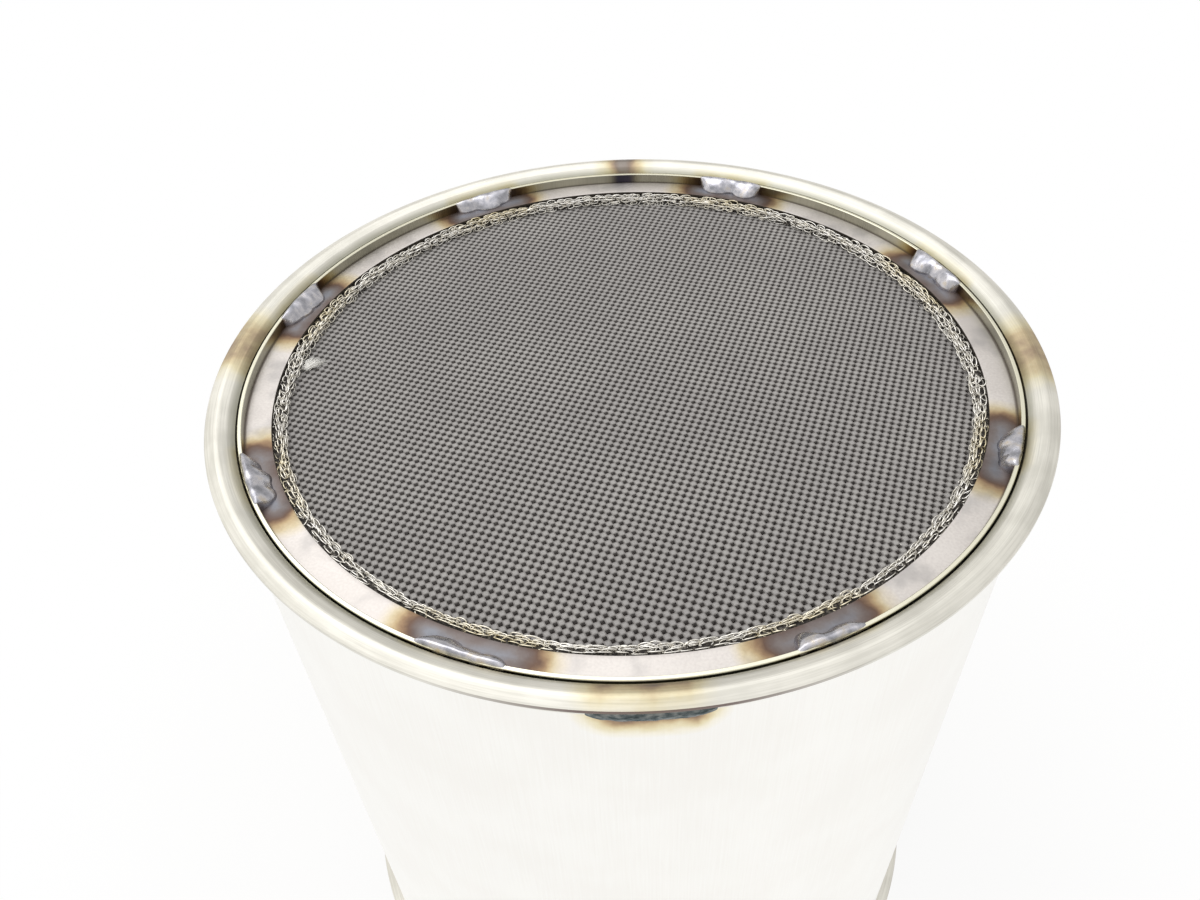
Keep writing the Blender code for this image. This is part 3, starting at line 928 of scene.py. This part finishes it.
turning_marks, given, result = shader_group(
    "turning_marks",
    {"Mark Width": "NodeSocketFloat"},
    {"Height": "NodeSocketFloat", "Tone": "NodeSocketFloat"},
)
place = node(turning_marks, "ShaderNodeTexCoord").outputs["Object"]
spot = node(turning_marks, "ShaderNodeSeparateXYZ", {0: place}).outputs
radius = from_axis(turning_marks, spot)
slant = maths(turning_marks, "ADD", radius, spot["Z"])
across = maths(turning_marks, "DIVIDE", slant, given.outputs["Mark Width"])
round_x, round_y = [
    maths(turning_marks, "MULTIPLY", maths(turning_marks, "DIVIDE", spot[way], radius), 5.0) for way in "XY"
]
lathe = node(turning_marks, "ShaderNodeCombineXYZ", {0: round_x, 1: round_y, 2: across}).outputs[0]
marks = node(
    turning_marks, "ShaderNodeTexNoise", {"Vector": lathe, "Scale": 1.0, "Detail": 4.0, "Roughness": 0.6}
).outputs[0]
cloudy = node(turning_marks, "ShaderNodeTexNoise", {"Vector": place, "Scale": 60.0, "Detail": 3.0}).outputs[0]
cloud_share = maths(turning_marks, "MULTIPLY", cloudy, 0.45)
turned_tone = maths(turning_marks, "MULTIPLY_ADD", marks, 0.55, cloud_share)
turning_marks.links.new(marks, result.inputs["Height"])
turning_marks.links.new(turned_tone, result.inputs["Tone"])

turned_steel, tree, shader = new_material("turned_steel", 1.0)
lines = grouped(tree, turning_marks, {"Mark Width": 0.00035})
place = node(tree, "ShaderNodeTexCoord").outputs["Object"]
nick = node(tree, "ShaderNodeTexVoronoi", {"Vector": place, "Scale": 150.0}).outputs
nick_pick = node(tree, "ShaderNodeSeparateColor", {0: nick["Color"]}).outputs[0]
nicks = maths(
    tree,
    "MULTIPLY",
    spread(tree, nick["Distance"], 0.02, 0.06, 1.0, 0.0),
    maths(tree, "GREATER_THAN", nick_pick, 0.93),
)
distance = from_axis(tree, node(tree, "ShaderNodeSeparateXYZ", {0: place}).outputs)
rim_face = spread(tree, distance, rim_radius - 0.0002, rim_radius - 0.00005)
rim_shade = node(tree, "ShaderNodeAttribute", attribute_name="rim_shade").outputs["Fac"]
tone = blend(tree, spread(tree, lines["Tone"], 0.36, 0.64), paint(221, 219, 210), paint(243, 241, 233))
# Painted shade: the face darkens to olive towards its inner edge, where it rolls down into the throat.
tone = blend(tree, spread(tree, distance, THROAT[0], 0.1428, 0.6, 0.0), tone, paint(132, 132, 110))
tone = blend(tree, 0.85, tone, heated(tree, tone))
tone = blend(tree, nicks, tone, paint(254, 253, 249))
# Painted shade: the rim's outer face turns dark brown-grey, most of all near the stitch welds.
tone = blend(tree, maths(tree, "MULTIPLY", rim_face, rim_shade), tone, paint(112, 92, 88))
gloss = spread(tree, lines["Tone"], 0.3, 0.7, 0.42, 0.54)
finish(tree, shader, tone, gloss, lines["Height"], 0.00003)
shader.inputs["Anisotropic"].default_value = 0.3

flange_corners = [
    SHOULDER,
    CROWN,
    (rim_radius, RIM_TOP, 0.0003),
    (rim_radius, rim_bottom, 0.0002),
    (collar, neck, 0.0012),
    (collar, 0, 0),
    (spigot, 0, 0),
    (spigot, -SPIGOT_DEPTH, 0),
    (bore, -SPIGOT_DEPTH, 0),
    (bore, THROAT[1] - THROAT_DEPTH, 0),
    (*THROAT, 0.0002),
]
for side, end in ENDS.items():
    flange = turned_mesh(f"{side}_flange", rounded(flange_corners, TINT_STEP), end)
    for vertex in flange.vertices:
        height = (vertex.co.z - at_end(end, 0)) * end
        if vertex.co.xy.length < THROAT[0] + 0.0004 and height > THROAT[1] - 0.0006:
            vertex.co.xy += Vector(THROAT_OFFSET)
    # Lays the mask of the rim's painted shade, round the stitch welds
    lay_weld_nearness(flange, STITCHES, rim_radius, None, RIM_SHADE_REACH, RIM_SHADE_PEAK, "rim_shade")
    for angle, span, peak in FACE_TINTS:
        lay_weld_nearness(flange, [(angle, span)], STITCH_RADIUS, None, FACE_TINT_REACH, peak)
    shoulder_z = at_end(end, SHOULDER[1])
    lay_weld_nearness(flange, [INNER_TINT], SHOULDER[0], shoulder_z, INNER_TINT_REACH, INNER_TINT_PEAK)
    edge_z = at_end(end, can_edge)
    lay_weld_nearness(flange, TACKS, THROAT_HEAT_RADIUS, edge_z, THROAT_HEAT_REACH, THROAT_HEAT_PEAK)
    add_piece(f"{side}_clamp_flange", flange, turned_steel, "turned_steel", f"{side}_flange")

# Stitch welds
# Four short beads at each end join the jacket to the flange's collar. Each was laid along the seam in
# one run, and its rippled grey metal wasn't cleaned.

STITCH_HALF = 0.0016
STITCH_CROWN = 0.0016

stitch_metal, tree, shader = new_material("stitch_metal", 1.0)
place = node(tree, "ShaderNodeTexCoord").outputs["Object"]
squashed = node(tree, "ShaderNodeVectorMath", {0: place, 1: (1.0, 1.0, 4.0)}, operation="MULTIPLY").outputs[0]
ripples = node(tree, "ShaderNodeTexNoise", {"Vector": squashed, "Scale": 420.0, "Detail": 3.0}).outputs[0]
tone = ramp(
    tree,
    ripples,
    [(0.32, paint(66, 76, 78)), (0.50, paint(104, 112, 114)), (0.70, paint(150, 154, 152))],
)
finish(tree, shader, tone, spread(tree, ripples, 0.3, 0.7, 0.2, 0.36), ripples, 0.00015)


def stitch_section(along, drift):
    """Points from the collar, out over the bead and back to the jacket, then inside the metal."""
    fullness = max(0, 1 - abs(along) ** 4) ** 0.5
    fullness *= 1 + 0.12 * noise.noise(Vector((along * 9, drift, 0)))
    section = []
    for step in range(BEAD_POINTS):
        turn = math.pi * step / (BEAD_POINTS - 1)
        ripple = 1 + 0.10 * math.cos(3 * turn + 0.8)
        r = collar - BEAD_SINK + (STITCH_CROWN * ripple * math.sin(turn) + BEAD_SINK) * fullness
        h = STITCH_LEVEL + STITCH_HALF * (0.35 + 0.65 * fullness) * math.cos(turn)
        section.append((r, h))
    root = collar - 2 * BEAD_SINK
    return section + [(root, STITCH_LEVEL - STITCH_HALF / 2), (root, STITCH_LEVEL + STITCH_HALF / 2)]


for side, end in ENDS.items():
    for number, (angle, span) in enumerate(STITCHES, 1):
        drift = number * 3.7 + end
        bead = bead_mesh(
            f"{side}_stitch_{number}", angle, span, end, lambda along: stitch_section(along, drift)
        )
        add_piece(
            f"{side}_stitch_bead_{number}", bead, stitch_metal, "weld_bead", f"{side}_stitch_weld_{number}"
        )

# Floor, light and camera
# A plain pale floor under soft overhead light, seen from the photograph's place. The floor is white
# to the camera and in reflections, and keeps the filter's soft shadow close to its foot.

FLOOR_RADIUS = 0.9
FLOOR_DROP = 0.0003
PHOTO_WIDTH = 1200
FOCAL_PIXELS = 975.2
SENSOR_WIDTH = 36
# The camera's place, with its height above the block's upper face, and its turn in degrees
CAMERA_PLACE = (0.09865, -0.26725, 0.22992)
CAMERA_TURN = (46.587, 2.285, 20.322)

bpy.context.scene.view_settings.view_transform = "Standard"

backdrop, tree, _ = new_material("backdrop", 0.0)
tree.nodes.clear()
ray = node(tree, "ShaderNodeLightPath").outputs
place = node(tree, "ShaderNodeTexCoord").outputs["Object"]
distance = from_axis(tree, node(tree, "ShaderNodeSeparateXYZ", {0: place}).outputs)
matt = node(tree, "ShaderNodeBsdfDiffuse", {"Color": paint(244, 243, 240)}).outputs[0]
white = node(tree, "ShaderNodeEmission", {"Color": paint(255, 255, 255), "Strength": 1.0}).outputs[0]
seen = maths(tree, "MULTIPLY", ray["Is Camera Ray"], spread(tree, distance, 0.15, 0.40, 0.85, 1.0))
share = maths(tree, "MAXIMUM", seen, ray["Is Glossy Ray"])
mixed = node(tree, "ShaderNodeMixShader", {0: share, 1: matt, 2: white}).outputs[0]
node(tree, "ShaderNodeOutputMaterial", {0: mixed})
floor_mesh = bpy.data.meshes.new("floor")
floor_shape = bmesh.new()
bmesh.ops.create_circle(floor_shape, cap_ends=True, segments=96, radius=FLOOR_RADIUS)
floor_shape.to_mesh(floor_mesh)
floor_shape.free()
floor_mesh.materials.append(backdrop)
floor = bpy.data.objects.new("floor", floor_mesh)
floor.location.z = -FLOOR_DROP
bpy.context.scene.collection.objects.link(floor)

world = bpy.data.worlds.new("studio")
bpy.context.scene.world = world
world.use_nodes = True
tree = world.node_tree
tree.nodes.clear()
direction = node(tree, "ShaderNodeTexCoord").outputs["Generated"]
facing = node(tree, "ShaderNodeSeparateXYZ", {0: direction}).outputs
room = ramp(
    tree,
    maths(tree, "MULTIPLY_ADD", facing["Z"], 0.5, 0.5),
    [
        (0.45, (1.00, 0.99, 0.98, 1)),
        (0.53, (0.76, 0.75, 0.73, 1)),
        (0.64, (0.66, 0.65, 0.63, 1)),
        (0.79, (0.67, 0.66, 0.64, 1)),
        (0.86, (0.82, 0.81, 0.79, 1)),
        (0.94, (1.10, 1.09, 1.08, 1)),
    ],
)
window = spread(tree, facing["X"], -0.92, -0.38, 0.44, 0.0)
above = spread(tree, facing["Z"], -0.05, 0.2)
strength = maths(tree, "MULTIPLY_ADD", window, above, 1.0)
seen = node(tree, "ShaderNodeLightPath").outputs["Is Camera Ray"]
lit = node(tree, "ShaderNodeBackground", {"Color": room, "Strength": strength}).outputs[0]
plain = node(tree, "ShaderNodeBackground", {"Color": (1, 1, 1, 1), "Strength": 1.0}).outputs[0]
sky = node(tree, "ShaderNodeMixShader", {0: seen, 1: lit, 2: plain}).outputs[0]
node(tree, "ShaderNodeOutputWorld", {0: sky})


def soft_light(name, place, aim, width, watts):
    """A square soft box that faces a point."""
    lamp = bpy.data.lights.new(name, "AREA")
    lamp.size = width
    lamp.energy = watts
    light = bpy.data.objects.new(name, lamp)
    light.location = place
    light.rotation_euler = (Vector(aim) - Vector(place)).to_track_quat("-Z", "Y").to_euler()
    bpy.context.scene.collection.objects.link(light)


soft_light("overhead_box", (-0.42, 0.12, 1.2), (0, 0, 0.3), 0.8, 2.2)

camera_data = bpy.data.cameras.new("camera")
camera_data.sensor_width = SENSOR_WIDTH
camera_data.lens = FOCAL_PIXELS / PHOTO_WIDTH * SENSOR_WIDTH
camera_data.clip_start = 0.01
camera = bpy.data.objects.new("camera", camera_data)
camera.location = (CAMERA_PLACE[0], CAMERA_PLACE[1], block_high.z + CAMERA_PLACE[2])
camera.rotation_euler = [math.radians(turn) for turn in CAMERA_TURN]
bpy.context.scene.collection.objects.link(camera)
bpy.context.scene.camera = camera
